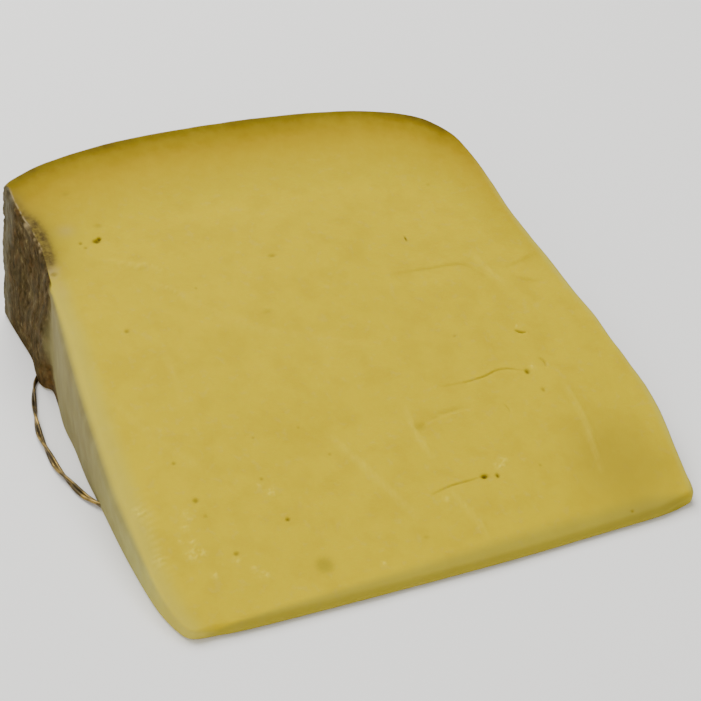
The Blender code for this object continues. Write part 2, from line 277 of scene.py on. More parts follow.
def wall_relief(ring, height, share):
    """How far the wall stands out from the outline: crags on the crust, low waves on the
    domed flat, and the low flat's lean."""
    places = np.stack([ring[:, 0], ring[:, 1], share * height], 1)
    domed = ramp(ring[:, 0], *DOMED_FLAT_BAND)
    crust = ramp(ring[:, 1], *CRUST_START) * (1 - domed)
    crust *= 1 - CORNER_CALM * ramp(ring[:, 1], *CORNER_BAND)
    crags = CRUST_RELIEF * crust * noise(places, CRUST_CRAG, 3)
    waves = FLAT_RELIEF * domed * noise(places * [1, 1, 0.4], FLAT_WAVE, 8)
    lean = np.interp(ring[:, 1], *np.transpose(LOW_FLAT_LEAN)) * share
    lean = lean - SET_BACK * band(ring[:, 1], *SET_BACK_BAND)
    to_edge = (ring[:, 0] - np.interp(ring[:, 1], *np.transpose(TOP_EDGE))
               + EDGE_SEEN * edge_radius(ring))
    near_top = ramp(share, *TOP_SHARE) * band(ring[:, 1], *TOP_BAND)
    low = lean + (to_edge - lean) * near_top
    return ((crags * (1 - ramp(share, *SMOOTH_SHARE)) + waves) * ramp(share, 0.0, FOOT_SHARE)
            + low * ramp(ring[:, 0], *LOW_FLAT_BAND))


def side_wall(ring, outward):
    """The band round the wedge: rounded lower edge, wall, rounded upper edge. Each row is
    the outline pulled in by the edge's curve, and turned up by its height."""
    height = ring[:, 1] * WEDGE_ANGLE
    upper = edge_radius(ring)
    lower = np.minimum(BASE_EDGE_RADIUS, LOWER_EDGE_SHARE * height)
    turn = np.linspace(0, math.pi / 2, EDGE_STEPS + 1)
    rise = np.linspace(0, 1, WALL_STEPS + 1)[1:-1]
    rows = [(lower * (1 - math.sin(a)), lower * (1 - math.cos(a))) for a in turn]
    rows += [(0 * upper, lower + (height - upper - lower) * t) for t in rise]
    rows += [(upper * (1 - math.cos(a)), height - upper * (1 - math.sin(a))) for a in turn]
    wall = []
    for inset, lift in rows:
        share = lift / height
        place = ring + outward * (wall_relief(ring, height, share) - inset)[:, None]
        wall.append(turned(place[:, 0], place[:, 1], share * WEDGE_ANGLE))
    return np.array(wall)


wall = side_wall(ring, outward)
print("wall", wall.shape[0], "rows of", wall.shape[1], "points")

# %% Upper cut face: a Coons patch inside the wall's last row
FACE_RELIEF = 0.30
FACE_WAVE = 26.0
FACE_RIM_SHARE = 0.12
FACE_UP = np.array([0, -math.sin(WEDGE_ANGLE), math.cos(WEDGE_ANGLE)])


def fill_in(ring):
    """A square grid of points inside a ring: at each place, the blend of the two curves
    that cross there, less the blend of the four corners (a Coons patch)."""
    n = len(ring) // 4
    loop = np.vstack([ring, ring[:1]])
    front, right = loop[:n + 1], loop[n:2 * n + 1]
    back, left = loop[2 * n:3 * n + 1][::-1], loop[3 * n:][::-1]
    u = np.linspace(0, 1, n + 1)[None, :, None]
    v = np.linspace(0, 1, n + 1)[:, None, None]
    between = (1 - v) * front[None] + v * back[None]
    across = (1 - u) * left[:, None] + u * right[:, None]
    corners = ((1 - u) * (1 - v) * front[0] + u * (1 - v) * front[-1]
               + (1 - u) * v * back[0] + u * v * back[-1])
    return between + across - corners


def cut_face(ring):
    """The upper cut face: a grid inside the wall's last row, which sags and swells by a
    fraction of a millimetre away from its edges."""
    grid = fill_in(ring)
    step = np.abs(np.linspace(-1, 1, FACE_STEPS + 1))
    edge = np.maximum(step[None, :], step[:, None])
    inside = 1 - ramp(edge, 1 - FACE_RIM_SHARE, 1.0)
    swell = FACE_RELIEF * inside * noise(grid, FACE_WAVE, 5)
    return grid + swell[..., None] * FACE_UP


face = cut_face(wall[-1])
print("cut face", face.shape[:2], "points")

# %% Foot: the lower cut face, flat, in a coarser grid
FOOT_EVERY = 4
FOOT_INSET = 1.5


def foot_face(ring, outward):
    """The lower cut face: every fourth point of the outline, pulled in a little, and a grid
    inside that ring. It is flat, so it needs fewer points than the upper face."""
    inner = (ring - FOOT_INSET * outward)[::FOOT_EVERY]
    inner = turned(inner[:, 0], inner[:, 1], 0.0 * inner[:, 1])
    return inner, fill_in(inner)


foot_ring, foot = foot_face(ring, outward)
print("foot", foot.shape[:2], "points")

# %% [markdown]
# ## One closed skin
# The wall is rows of quads, and each cut face is a grid of quads. The upper face shares its
# edge with the wall's last row. A band of faces with seven corners joins the wall's first row
# to the foot's coarser ring. They are sewn together by their indices, so nothing has to be
# merged afterwards.

# %% Sew the wedge together
def grid_quads(n, edge_start, inside_start):
    """Quads of a square grid: its edge is a ring of 4n points, its inside comes row by row."""
    index = np.zeros((n + 1, n + 1), int)
    index[0, :] = edge_start + np.arange(n + 1)
    index[:, n] = edge_start + n + np.arange(n + 1)
    index[n, ::-1] = edge_start + 2 * n + np.arange(n + 1)
    index[:0:-1, 0] = edge_start + 3 * n + np.arange(n)
    index[1:n, 1:n] = inside_start + np.arange((n - 1) ** 2).reshape(n - 1, n - 1)
    quads = [index[:-1, :-1], index[:-1, 1:], index[1:, 1:], index[1:, :-1]]
    return np.stack(quads, -1).reshape(-1, 4)


def sewn(wall, face, foot_ring, foot):
    """Points and faces of the closed wedge."""
    count = wall.shape[1]
    parts = [wall.reshape(-1, 3), face[1:-1, 1:-1].reshape(-1, 3), foot_ring,
             foot[1:-1, 1:-1].reshape(-1, 3)]
    starts = np.cumsum([0] + [len(part) for part in parts])
    row = np.arange(count)
    nxt = np.roll(row, -1)
    start = np.arange(len(wall) - 1)[:, None] * count
    sides = np.stack([start + row, start + nxt, start + count + nxt, start + count + row], -1)
    top = grid_quads(len(face) - 1, (len(wall) - 1) * count, starts[1])
    bottom = grid_quads(len(foot) - 1, starts[2], starts[3])[:, ::-1]
    near = starts[2] + np.arange(len(foot_ring))
    outer = FOOT_EVERY * np.arange(len(foot_ring))
    joint = [near, np.roll(near, -1)]
    joint += [(outer + i) % count for i in range(FOOT_EVERY, -1, -1)]
    faces = [sides.reshape(-1, 4), top, bottom, np.stack(joint, -1)]
    return np.vstack(parts), [corners for group in faces for corners in group.tolist()]


points, faces = sewn(wall, face, foot_ring, foot)
skin = bpy.data.meshes.new("kashar")
skin.from_pydata(points.tolist(), [], faces)
print("skin", len(points), "points, sound:", not skin.validate())

# %% [markdown]
# ## What the knife and the months did to the cut face
# The curd tore in a few short cracks as the knife went through, and it has small holes. Their
# floors and the cracks are painted darker, as shade. The blade dragged some soft paste into
# pale ridges and crumbs, and left a comb of fine ripples by the left edge. All of these are
# placed as (x, r) on the face, in millimetres, measured off the photo through the fitted
# camera.
#
# - a crack is its line, its width, its depth, and how high its lip is folded up
# - a hole is its place, its two half widths, and how dark its floor is: painted shade, and in
#   a few wide, shallow holes an olive stain
# - a ridge is its line, its width, its height, and how pale it is
# - a crumb is its place and its size

# %% Where the cracks, holes and ridges are
CRACKS = [
    ([(12.6, 43.6), (16.5, 43.2), (20.6, 43.2)], 0.4, 0.06, 0.06),
    ([(18, 43), (22.8, 43.6), (26, 44.4), (28.6, 44.1), (31.4, 42.7)],
     0.28, 0.2, 0.13),
    ([(17.8, 37.3), (13, 37.4), (8.5, 36.8), (5.4, 35.4)], 0.6, 0.1, 0.12),
    ([(1.4, 21.4), (5.5, 22.2), (9, 22.3), (12, 22.4)], 0.28, 0.18, 0.1),
    ([(15.5, 71.9), (23.1, 71.7), (30.8, 71.3), (33.1, 69), (35.3, 65.2)], 0.6, 0.05, 0.13),
    ([(34, 52.7), (35, 51.9), (36.1, 51.6)], 0.26, 0.55, 0.12),
    ([(35.8, 45.3), (36.2, 44), (36, 42.6)], 0.45, 0.24, 0.1),
    ([(39.6, 68.3), (43.4, 69.1), (47.8, 70.3)], 0.8, 0.03, 0.14),
    ([(39.5, 65.9), (42.2, 64.4), (45.4, 63)], 0.8, 0.03, 0.12),
    ([(23.6, 36.6), (24, 35.4), (23.9, 34.2)], 0.3, 0.14, 0.05),
]
HOLES = [
    (-37.3, 93.4, 0.75, 0.55, 0.75), (-36.7, 93.9, 0.4, 0.4, 0.9),
    (-35.7, 97.2, 0.8, 0.6, 0.15), (-40.5, 93.5, 0.35, 0.35, 0.4),
    (-39.9, 92.2, 0.3, 0.3, 0.3), (-5.6, 81.8, 0.75, 0.45, 0.25),
    (-11.6, 68.6, 0.9, 0.6, 0.1), (22.7, 80.2, 0.22, 0.65, 0.7),
    (-38.8, 70.3, 0.45, 0.45, 0.35), (33.8, 93.4, 0.4, 0.35, 0.15),
    (-22.8, 77.6, 0.25, 0.25, 0.2), (-39.4, 106.7, 0.7, 0.6, 0.1),
    (-40.3, 39.7, 0.35, 0.35, 0.3), (-39.2, 31.3, 0.5, 0.5, 0.4),
    (-38.6, 27.9, 0.4, 0.4, 0.15), (-36.2, 19.3, 0.45, 0.4, 0.4),
    (-25.2, 23.5, 0.4, 0.4, 0.6), (-26.6, 32.6, 0.3, 0.3, 0.3),
    (-24.9, 41.4, 0.25, 0.25, 0.2), (-16.2, 41.4, 0.25, 0.25, 0.2),
    (-12.8, 34.5, 0.3, 0.3, 0.2), (21.6, 54.2, 0.4, 0.35, 0.15),
    (31.7, 42.5, 0.5, 0.6, 0.6), (32.6, 37.6, 0.35, 0.5, 0.3),
    (12.6, 22.3, 0.65, 0.45, 0.9), (15, 21.8, 0.35, 0.5, 0.7),
    (23.7, 21.7, 0.25, 0.3, 0.2), (35.9, 7.9, 0.35, 0.3, 0.5),
    (-3.1, 13.4, 0.5, 0.4, 0.1), (-47.6, 87, 0.6, 0.5, 0.35),
    (5.9, 35.7, 1.3, 0.9, 0.12), (12.5, 37.7, 2.6, 0.7, 0.08),
]
RIDGES = [
    ([(4.9, 40.7), (4.5, 35.4), (4.8, 30.6), (5.6, 28.1)], 0.6, 0.12, 0.7),
    ([(5.1, 21.4), (6.6, 16), (7.5, 9.7)], 0.5, 0.12, 0.6),
    ([(-11.8, 39.3), (-9, 33.2), (-6, 25.6), (-2.4, 17)], 0.75, 0.15, 0.7),
    ([(37.4, 38.9), (37.2, 30.2), (35.7, 23.4), (34.2, 16.7)], 0.55, 0.12, 0.6),
    ([(34.4, 74.4), (35.3, 70.3), (36.3, 66.8), (38.2, 63.2)], 0.85, 0.2, 0.5),
    ([(-37.4, 88.1), (-35.3, 87.3), (-32.9, 86.2), (-31.9, 85.5), (-30.3, 85.5),
      (-29.2, 84.7), (-27.4, 83)], 0.45, 0.26, 0.8),
    ([(-31.2, 81), (-27.8, 78.6), (-24, 75)], 0.5, 0.14, 0.5),
    ([(-28.3, 79.7), (-24.4, 73.6), (-14.6, 64.8), (-3.5, 59.5), (5.8, 54.6)], 1, 0.1, 0.3),
    ([(-47.7, 58.6), (-42.3, 46.8), (-35, 35.8)], 0.7, 0.07, 0.4),
    ([(-33.6, 67), (-34, 57.4), (-34.5, 50.4)], 0.7, 0.07, 0.3),
]
CRUMBS = [
    (-27.4, 31.5, 0.5), (-33.1, 14.1, 0.8), (-41.5, 28.8, 1), (-42.8, 26.6, 0.7),
    (-42.6, 23.5, 0.6), (-44.6, 24, 0.5), (-43.3, 21.2, 1.2), (-41.6, 20.9, 0.8),
    (-49.4, 21.5, 0.7), (-49.4, 31.8, 0.9), (-41.2, 16.3, 0.7), (-36.7, 18, 0.6),
    (16.4, 23.9, 1), (17.6, 24.8, 0.7), (-12.6, 10.6, 0.5), (-26, 29.6, 0.9),
    (-34.4, 15.6, 0.6), (35, 53.4, 0.6), (33.4, 43.6, 0.7), (3.8, 19.8, 0.6),
]
COMB_PLACE = (-48.3, 26.0)
COMB_REACH = (1.9, 7.5)
COMB_PITCH = 1.25
BRUISE = ((-22.6, 13.1), 1.6)
print(len(CRACKS), "cracks,", len(HOLES), "holes,", len(RIDGES), "ridges,",
      len(CRUMBS), "crumbs")

# %% [markdown]
# A crack 0.4 mm wide needs finer faces than the rest of the cheese. Faces near a crack, a
# hole or a crumb are split in four, twice, and those of the rind that shows once. This is
# what a modeller does by hand with Subdivide on a selection.

# %% Split the faces where the relief is fine
FACE_DEPTH = (0.5, 1.2)
FINE_REACHES = (0.8, 0.35)
RIND_LEFT_OF, RIND_FROM, RIND_ABOVE = -47.0, 76.0, 0.3


def on_wheel(places):
    """How far places are along the wheel's axis, and from it."""
    return places[:, 0], np.hypot(places[:, 1], places[:, 2])


def on_face(places):
    """1 for places on the upper cut face, 0 from 1.2 mm below it."""
    return 1 - ramp(-(places @ FACE_UP), *FACE_DEPTH)


def near_detail(places, reach):
    """True where a crack, a hole or a crumb in the cut face is within reach."""
    x, r = on_wheel(places)
    near = np.zeros(len(places), bool)
    for line, width, _, _ in CRACKS:
        near |= from_line(x, r, line)[0] < width + reach
    for hx, hr, half_x, half_r, _ in HOLES:
        near |= np.hypot((x - hx) / (half_x + reach), (r - hr) / (half_r + reach)) < 1
    for cx, cr, size in CRUMBS:
        near |= np.hypot(x - cx, r - cr) < size + reach
    return near & (on_face(places) > 0.5)


def rind_that_shows(places):
    """True on the low flat's rind, above the rounded foot, and on the edge above it."""
    x, r = on_wheel(places)
    return (x < RIND_LEFT_OF) & (r > RIND_FROM) & (places[:, 2] > RIND_ABOVE)


def split(mesh, wanted):
    """Splits in four each face whose centre is wanted."""
    shell = bmesh.new()
    shell.from_mesh(mesh)
    centres = np.array([f.calc_center_median() for f in shell.faces])
    shell.faces.ensure_lookup_table()
    picked = [shell.faces[i] for i in np.flatnonzero(wanted(centres))]
    edges = {edge for f in picked for edge in f.edges if len(f.verts) < 6}
    bmesh.ops.subdivide_edges(shell, edges=list(edges), cuts=1, use_grid_fill=True)
    shell.to_mesh(mesh)
    shell.free()


split(skin, rind_that_shows)
for reach in FINE_REACHES:
    split(skin, lambda places: near_detail(places, reach))
print("after splitting", len(skin.vertices), "points", len(skin.polygons), "faces")

# %% [markdown]
# ## Relief
# Each mark is a simple formula of the distance to its line or middle. A crack is a groove
# that thins out to its ends, with one lip lifted. A hole is a bowl. A ridge is a low bell.
# Under them all runs a faint unevenness, as a stretched curd has. The crust gets ribs that
# run up the wheel, finer crags, and pits.

# %% Work out the relief
PATCH_SIZE, SPECK_SIZE = 1.6, 0.55
HOLE_DEPTH = 0.8
CRUMB_HEIGHT = 0.10
WAVES = ((0.10, 9.0, 11), (0.05, 3.5, 12), (0.02, 1.4, 13))
COMB_SWAY = 4.0
RIBS, CRAGS, GRIT, PITS = (0.10, 1.6), (0.14, 1.0), (0.10, 0.6), (0.25, 1.5)


def taper(along):
    """1 along a line, and 0 at its two ends."""
    return np.sqrt(np.clip(np.sin(math.pi * along), 0, 1))


def face_relief(x, r):
    """Height over the cut face, in mm, the painted shade and olive stain, and how pale each
    place is.
    """
    height, shade_and_stain, pale = np.zeros_like(x), np.zeros_like(x), np.zeros_like(x)
    flat = np.stack([x, r, 0 * x], -1)
    patchy = 0.5 + 0.5 * noise(flat, PATCH_SIZE, 30)
    aslant = np.stack([x + 0.7 * r, r - 0.7 * x, 0 * x], -1)
    speckled = np.clip(0.35 + 1.3 * noise(aslant, SPECK_SIZE, 31), 0, 1)
    for line, width, deep, fold in CRACKS:
        gap, along, side = from_line(x, r, line)
        groove = np.exp(-(gap / (0.6 * width)) ** 2) * taper(along) * (0.4 + 0.6 * patchy)
        lip = side * np.tanh(gap / (0.8 * width)) * np.exp(-gap / (2.5 * width))
        height += fold * taper(along) * lip - deep * groove
        # the crack's groove is painted darker, as shade
        shade_and_stain = np.maximum(shade_and_stain, groove * min(1.0, 1.3 * deep))
    for hx, hr, half_x, half_r, shade in HOLES:
        out = np.hypot((x - hx) / half_x, (r - hr) / half_r)
        height -= HOLE_DEPTH * min(half_x, half_r) * np.exp(-out ** 4) * shade
        # the hole's floor is painted darker, as shade, and in a wide, shallow hole as an olive
        # stain
        shade_and_stain = np.maximum(shade_and_stain, np.exp(-out ** 2) * (0.06 + 0.94 * shade))
    for line, width, high, chalky in RIDGES:
        gap, along, side = from_line(x, r, line)
        bell = np.exp(-(gap / width) ** 2) * taper(along) * (0.45 + 0.55 * patchy)
        height += high * bell * (1 + 0.8 * side)
        pale = np.maximum(pale, chalky * bell * (0.6 + 0.4 * speckled))
    for cx, cr, size in CRUMBS:
        bell = np.exp(-(np.hypot(x - cx, r - cr) / size) ** 2)
        height += CRUMB_HEIGHT * bell * speckled
        pale = np.maximum(pale, bell * (0.3 + 0.7 * speckled))
    return height, shade_and_stain, pale


def comb(x, r):
    """Fine ripples that the blade left by the left edge, as strokes across the face."""
    out = np.hypot((x - COMB_PLACE[0]) / COMB_REACH[0], (r - COMB_PLACE[1]) / COMB_REACH[1])
    sway = 0.5 * noise(np.stack([x, r, 0 * x], -1), COMB_SWAY, 17)
    wave = np.cos(2 * math.pi * ((r - 0.35 * x) / COMB_PITCH + sway))
    return np.exp(-out ** 2) * wave


def waviness(x, r):
    """The paste's own unevenness: three sizes of noise, each about half as high as the
    last."""
    places = np.stack([x, r, 0 * x], -1)
    return sum(high * noise(places, size, seed) for high, size, seed in WAVES)


def crust_relief(places):
    """Ribs that run up the wheel, crags between them, grit, and small pits. Each is noise
    of a height and a size."""
    ribs = noise(places * [1, 1, 0.3], RIBS[1], 41)
    crags = noise(places * [1, 1, 0.7], CRAGS[1], 42)
    grit = noise(places, GRIT[1], 43)
    pits = ramp(noise(places * [1, 1, 0.8], PITS[1], 44), 0.3, 0.7)
    return RIBS[0] * ribs + CRAGS[0] * crags + GRIT[0] * grit - PITS[0] * pits


print("a crack", CRACKS[0][1], "mm wide is", CRACKS[0][2], "mm deep")

# %% [markdown]
# The rind covers the rim and the flats next to it. On the low flat a knife has scraped it
# off towards the tip, so it ends in a wandering line. Where it meets the cut face its edge
# has crumbled: pale crumbs stick out, dark mould has crept a few millimetres onto the paste,
# and a faint bloom lies beyond.

# %% Where the rind is, and where its edge crumbles
LEFT_SIDE, RIGHT_SIDE = (44.0, 46.0), (43.0, 47.0)
CRUST_EDGE = [(0, 75), (0.1, 78.5), (0.2, 81.5), (0.31, 82.8), (0.42, 83.8),
              (0.6, 83.4), (0.81, 82.4), (0.92, 82.6), (1, 84.5)]
CRUST_WANDER = 4.0
DOMED_CRUST, RIM_CRUST = (80.0, 96.0), (100.0, 106.0)
MOULD_LINE = [(-48.5, 100.2), (-48.1, 98.3), (-47.7, 95.6), (-47.8, 92.9), (-48.2, 91)]
MOULD_WIDTH = 1.1
MOULD_HALO = 3.0
MOULD_DUST = 7.0
SHADE_BAND = (87.0, 92.0, 107.0, 112.0)
SHADE_REACH = 1.8
LUMPS = [((-49.1, 100.3), 0.7), ((-49, 98.5), 0.25), ((-48.7, 96.4), 0.45),
         ((-48.3, 94.8), 0.25), ((-48.6, 93.4), 0.35)]
FRAY_BAND = (92.0, 95.0, 111.0, 112.5)
FRAY_WIDTH = 0.15
BLOOMS = [((-48.1, 88.6), (1.5, 2.6), 1), ((-42.3, 97.3), (1.8, 1.5), 0.4),
          ((-47.2, 83.5), (1.6, 3), 0.3)]


def on_crust(places):
    """1 on the mouldy crust of the low flat and of the rim, 0 on the rest. On the low flat
    its edge wanders with the height, as the scraping knife left it."""
    x, r = on_wheel(places)
    share = np.arctan2(places[:, 2], places[:, 1]) / WEDGE_ANGLE
    wander = noise(places * [0, 1, 1], CRUST_WANDER, 21)
    start = np.interp(share, *np.transpose(CRUST_EDGE)) + 0.7 * wander
    low = ramp(-x, *LEFT_SIDE) * ramp(r, start - 2.4, start + 1.2)
    domed = ramp(x, *RIGHT_SIDE) * ramp(r + 6 * wander, *DOMED_CRUST)
    return np.maximum(np.maximum(low, ramp(r, *RIM_CRUST)), domed)


def face_edge(r):
    """Where the cut face ends on the low flat's side, for each distance from the axis."""
    edge = wall[-1][3 * FACE_STEPS:][::-1]
    return np.interp(r, np.hypot(edge[:, 1], edge[:, 2]), edge[:, 0])


def mould(x, r):
    """Dark mould that crept from the crumbled rind onto the cut face: three bells of the
    distance to its line, narrow to wide, and a faint shade along the edge."""
    flat = np.stack([x, r, 0 * x], -1)
    ragged = 0.85 + 0.15 * noise(flat, 1.8, 51)
    gap = from_line(x, r, MOULD_LINE)[0]
    patch = (0.5 * np.exp(-(gap / MOULD_WIDTH) ** 2)
             + 0.4 * np.exp(-(gap / MOULD_HALO) ** 2)
             + 0.22 * np.exp(-(gap / MOULD_DUST) ** 2)) * ragged
    shade = np.exp(-(np.clip(x - face_edge(r), 0, None) / SHADE_REACH) ** 2)
    return np.clip(patch + 0.45 * shade * band(r, *SHADE_BAND), 0, 1)


def frayed(places):
    """The rind's broken edge: a thin pale line, and lumps of loose crumbs along it."""
    x, r = on_wheel(places)
    below = places @ FACE_UP
    off = np.hypot(x - face_edge(r), below)
    broken = np.clip(0.5 + 1.2 * noise(places, 0.7, 53), 0.1, 1)
    line = np.exp(-(off / FRAY_WIDTH) ** 2) * band(r, *FRAY_BAND) * broken
    rough = np.clip(0.8 + 0.5 * noise(places, 0.5, 54), 0, 1)
    lumps = [np.exp(-((x - at_x) ** 2 + (r - at_r) ** 2 + below ** 2) / size ** 2)
             for (at_x, at_r), size in LUMPS]
    return line, np.max(lumps, axis=0) * rough


def bloom(x, r):
    """Soft pinkish-white bloom on the cut face."""
    return np.max([much * np.exp(-np.hypot((x - at_x) / half_x, (r - at_r) / half_r) ** 2)
                   for (at_x, at_r), (half_x, half_r), much in BLOOMS], axis=0)


print(len(LUMPS), "lumps,", len(BLOOMS), "patches of bloom")

# %% [markdown]
# Now every point moves along its normal by the relief of the place where it is: the cut
# face's marks on top, the rind's crags on the sides, and nothing on the foot. This is what a
# Displace modifier does, but here the formulas can be read.

# %% Carve the skin
COMB_HEIGHT, LUMP_HEIGHT = 0.08, 0.35
SIDE_HEIGHT, SIDE_SIZE = 0.06, 3.0
FOOT_CALM, FOOT_PAINT = (0.1, 1.2), (0.0, 0.15)
LOW_FLAT_END = 111.5
ABOVE_FLOOR = 0.02


def vectors(items, key):
    """One vector of each point of a mesh, as rows of x, y and z."""
    flat = np.empty(3 * len(items))
    items.foreach_get(key, flat)
    return flat.reshape(-1, 3)


form, out = vectors(skin.vertices, "co"), vectors(skin.vertex_normals, "vector")
x, r = on_wheel(form)
upper = on_face(form)
low_foot = ramp(form[:, 2], *FOOT_CALM)
height, shade_and_stain, pale = face_relief(x, r)
ripples = comb(x, r)
flank = 1 - np.clip(out @ FACE_UP, 0, 1)
on_low_flat = ramp(-x, *LEFT_SIDE)
from_left = x - face_edge(r)
steep = np.where(on_low_flat * (r < LOW_FLAT_END) > 0.5, 1 - ramp(from_left, -0.15, 0.0),
                 ramp(flank, 0.5, 0.8))
crust = on_crust(form) * steep
above_foot = ramp(form[:, 2], *FOOT_PAINT)
edge_line, lumps = frayed(form)

rise = upper * (height + COMB_HEIGHT * ripples + waviness(x, r))
rise += LUMP_HEIGHT * lumps * low_foot
scraped = SIDE_HEIGHT * noise(form, SIDE_SIZE, 14)
rise += (1 - upper) * low_foot * (crust * crust_relief(form) + (1 - crust) * scraped)
carved = form + out * rise[:, None]
carved[:, 2] = np.where(form[:, 2] < 1e-6, form[:, 2], np.maximum(carved[:, 2], ABOVE_FLOOR))
print("relief from", round(float(rise.min()), 2), "to", round(float(rise.max()), 2), "mm")

# %% [markdown]
# ## Paint by numbers
# The colours follow the same formulas as the relief, so the masks are worked out here and
# kept on the mesh as attributes. A material then mixes its colours by them. Painting an image
# by hand would need a UV map and would blur at the cracks.
#
# - `rim_gap`: millimetres from the rim's outline, for the band that has dried, and
#   `radius`: millimetres from the wheel's axis
# - `side`: 1 on the flats and the rim, 0 on the cut faces
# - `crust`: 1 where the brown rind is
# - `hollow_shade_and_stain`, `pale`: painted shade on the floors of holes and cracks, with a
#   few olive stains, and ridges and crumbs
# - `mould`: dark mould on the cut face by the crumbled edge, `frayed`: pale crumbs of
#   rind on that edge, and `bloom`: soft pinkish-white patches
# - `rubbed`: paste that handling has dulled along the edges, `tip_right_shade`: a wide patch
#   painted darker as shade near the right end of the tip, and `bruise`: a small darker patch
# - `back_corner`: 1 by the rim, where the rind turns grey, and `rust`: where it is orange
# - `tip`: the band along the thin tip, painted a darker olive as shade

# %% Work out the masks
def paint(mesh, name, values):
    """Keeps one number for each point on the mesh."""
    layer = mesh.attributes.new(name, "FLOAT", "POINT")
    layer.data.foreach_set("value", np.asarray(values, np.float32))


RUST = [(82, 4, 2.5, 4, 1), (82, 23, 1.6, 3, 0.7), (79, 1.5, 4, 1.5, 0.7)]
TIP_RIGHT_SHADE = ((39, 18), (10.5, 12))
BARE_TIP, SIDE_START, SIDE_FLANK = (9.0, 15.0), (10.0, 24.0), (0.01, 0.5)
TIP_RADIUS = 6.4
TIP_REACH = [(-50, 0.1), (-44, 0.4), (-34, 1), (-10, 1.8), (20, 3),
             (40, 3.2), (52, 1.2)]
SHOULDER_FADE, SHOULDER_END = 0.45, 109.0
LEFT_RUB, RIGHT_RUB = (0.5, 3.8, (80.0, 90.0)), (0.75, 2.0, (84.0, 104.0))
GREY_BAND, GREY_WANDER = (104.5, 109.0), 3.0

from_right = from_line(x, r, DOMED_FLAT)[0]
at_tip = (1 - ramp(r, *BARE_TIP)) * (1 - on_low_flat)
side = np.where(-(form @ FACE_UP) > 0.01, ramp(flank, *SIDE_FLANK), 0) * above_foot
side *= (1 - at_tip) * (0.35 + 0.65 * ramp(r, *SIDE_START))

# the band along the thin tip, painted a darker olive as shade
tip_reach = np.interp(x, *np.transpose(TIP_REACH))
tip = 1 - ramp(r - TIP_RADIUS, 0.35 * tip_reach, 1.6 * tip_reach)
shoulder = from_right + SHOULDER_FADE * (SHOULDER_END - r)
rim_gap = np.minimum(from_line(x, r, RIM)[0], np.where(r < SHOULDER_END, shoulder, np.inf))
rubbed = np.max([much * (1 - ramp(gap, 0.0, wide)) * (1 - ramp(r, *fade))
                 for gap, (much, wide, fade) in ((from_left, LEFT_RUB),
                                                 (from_right, RIGHT_RUB))], axis=0)
rust = sum(much * np.exp(-((r - at_r) / wide) ** 2 - ((form[:, 2] - at_z) / high) ** 2)
           for at_r, at_z, wide, high, much in RUST)
# a wide patch on the face near the right end of the tip, painted darker as shade
tip_right_shade = np.exp(-(np.hypot((x - TIP_RIGHT_SHADE[0][0]) / TIP_RIGHT_SHADE[1][0], (r - TIP_RIGHT_SHADE[0][1]) / TIP_RIGHT_SHADE[1][1])) ** 3)
back_corner = ramp(r + 1.2 * noise(form, GREY_WANDER, 61), *GREY_BAND)
back_corner *= 0.35 + 0.65 * on_low_flat
bruise = np.exp(-(np.hypot(x - BRUISE[0][0], r - BRUISE[0][1]) / BRUISE[1]) ** 4)

for name, values in (
        ("rim_gap", rim_gap), ("radius", r), ("side", side), ("crust", crust * above_foot),
        ("hollow_shade_and_stain", shade_and_stain * upper), ("pale", (pale + 0.4 * np.clip(ripples, 0, 1)) * upper),
        ("mould", mould(x, r) * upper), ("frayed", np.maximum(edge_line, lumps)),
        ("tip", tip), ("bruise", bruise * upper), ("rubbed", rubbed), ("tip_right_shade", tip_right_shade * upper),
        ("back_corner", back_corner), ("rust", rust), ("bloom", bloom(x, r) * upper)):
    paint(skin, name, values)
print("side", round(float(side.mean()), 2), "crust", round(float(crust.mean()), 2))

# %% Put the wedge in its place
skin.vertices.foreach_set("co", ((carved + [*WHEEL_AXIS, 0.0]) * MM).ravel())
skin.update()
skin.shade_smooth()
cheese = in_scene("cheese", skin)
triangles = sum(len(p.vertices) - 2 for p in skin.polygons)
print("cheese", triangles, "triangles")

# %% [markdown]
# ## Colours and nodes
# Colours are written as the hex values that a picture shows, and one function turns them
# into the linear values that a renderer mixes. One more adds a node with its settings and
# its links, so that a material reads as a list of what goes into it.

# %% Helpers for materials
def linear(hex_colour):
    """A hex colour such as C5B053 as linear red, green, blue and alpha."""
    part = [int(hex_colour[i:i + 2], 16) / 255 for i in (0, 2, 4)]
    return [c / 12.92 if c <= 0.04045 else ((c + 0.055) / 1.055) ** 2.4 for c in part] + [1.0]


def plug(tree, node, links):
    """Gives a node's sockets a value or another node's output."""
    for socket, value in links.items():
        if isinstance(value, bpy.types.NodeSocket):
            tree.links.new(value, node.inputs[socket])
        else:
            node.inputs[socket].default_value = value


def add(tree, kind, links=None, **settings):
    """Adds a node with its settings and its links."""
    node = tree.nodes.new("ShaderNode" + kind)
    for key, value in settings.items():
        setattr(node, key, value)
    plug(tree, node, links or {})
    return node


print("hex C5B053 is", [round(c, 3) for c in linear("C5B053")])

# %% [markdown]
# ## Cheese
# The real thing is aged kashar: stretched curd, pressed in cloth and cut with a knife. The
# paste is waxy: light goes a few millimetres in and comes out warmer, which softens every
# mark on it, and nothing on it shines. Near the rim it has dried for months and is golden
# brown. The scraped side is taupe and matt, and its colour is painted darker, as shade. The
# rind is dry and fibrous, brown with grey mould, in streaks that run up the wheel as the
# cloth's folds did.
#
# The material is built from three tables. The first two say how much of something there is
# at each place: by the painted masks, and by noise. The third stacks colours: it starts from
# a row of colours along one of those amounts, and lays further colours over it, each by the
# product of the amounts that are named with it.

# %% How much: the masks and the patterns
# masks that are used as they are
PLAIN = ("side", "crust", "rubbed", "bloom", "rust", "back_corner")
